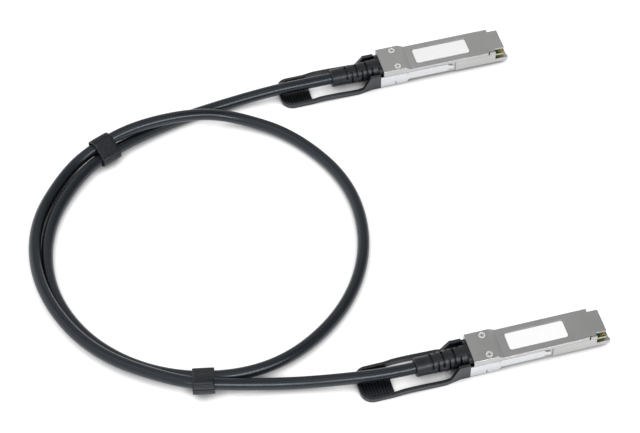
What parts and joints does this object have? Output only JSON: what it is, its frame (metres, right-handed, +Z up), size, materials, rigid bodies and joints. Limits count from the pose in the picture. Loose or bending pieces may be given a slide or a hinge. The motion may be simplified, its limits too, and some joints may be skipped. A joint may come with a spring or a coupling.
{
  "type": "direct attach copper cable",
  "caption": "Short direct attach cable with a pluggable module and sprung pull latch on each end, wound into a tied loop.",
  "frame": {"origin": "floor point in the middle of the two modules and their pull tabs", "axes": "+X the way both module noses point, +Y from the second module to the first, +Z up from the floor"},
  "size_m": [0.2925, 0.2242, 0.0142],
  "materials": {
    "cast_shell": "satin plated die casting",
    "stainless_sheet": "satin stainless sheet",
    "tab_plastic": "satin black moulding",
    "card_laminate": "green solder mask",
    "label_film": "matt white film",
    "screw_steel": "bright steel",
    "boot_rubber": "satin black moulding",
    "cable_sheath": "smooth slate-black sheath",
    "ferrule_brass": "plain",
    "pair_film": "foil-wrapped",
    "tie_fabric": "black hook-and-loop webbing"
  },
  "bodies": {
    "plugs_and_cable": {"plug_a_top_cover": "cast_shell", "plug_a_bottom_base": "cast_shell", "plug_a_circuit_card": "card_laminate", "plug_a_label_plate": "label_film", "plug_a_cover_screws": "screw_steel", "plug_a_return_springs": "screw_steel", "plug_a_cable_boot": "boot_rubber", "plug_a_jacket_end": "cable_sheath", "plug_a_crimp_ferrule": "ferrule_brass", "plug_a_twin_pairs": "pair_film", "plug_b_top_cover": "cast_shell", "plug_b_bottom_base": "cast_shell", "plug_b_circuit_card": "card_laminate", "plug_b_label_plate": "label_film", "plug_b_cover_screws": "screw_steel", "plug_b_return_springs": "screw_steel", "plug_b_cable_boot": "boot_rubber", "plug_b_jacket_end": "cable_sheath", "plug_b_crimp_ferrule": "ferrule_brass", "plug_b_twin_pairs": "pair_film", "cable_jacket": "cable_sheath", "cable_tie_a": "tie_fabric", "cable_tie_b": "tie_fabric"},
    "latch_a": {"plug_a_latch_slider": "stainless_sheet", "plug_a_pull_tab": "tab_plastic"},
    "latch_b": {"plug_b_latch_slider": "stainless_sheet", "plug_b_pull_tab": "tab_plastic"}
  },
  "joints": [
    {"name": "latch_a_pull", "type": "slide", "parent": "plugs_and_cable", "child": "latch_a", "axis": [-1, 0, 0], "range_m": [0, 0.0025], "stiffness_N_per_m": 1500, "springref_m": -0.002, "deforming": ["plug_a_return_springs"]},
    {"name": "latch_b_pull", "type": "slide", "parent": "plugs_and_cable", "child": "latch_b", "axis": [-1, 0, 0], "range_m": [0, 0.0025], "stiffness_N_per_m": 1500, "springref_m": -0.002, "deforming": ["plug_b_return_springs"]}
  ]
}
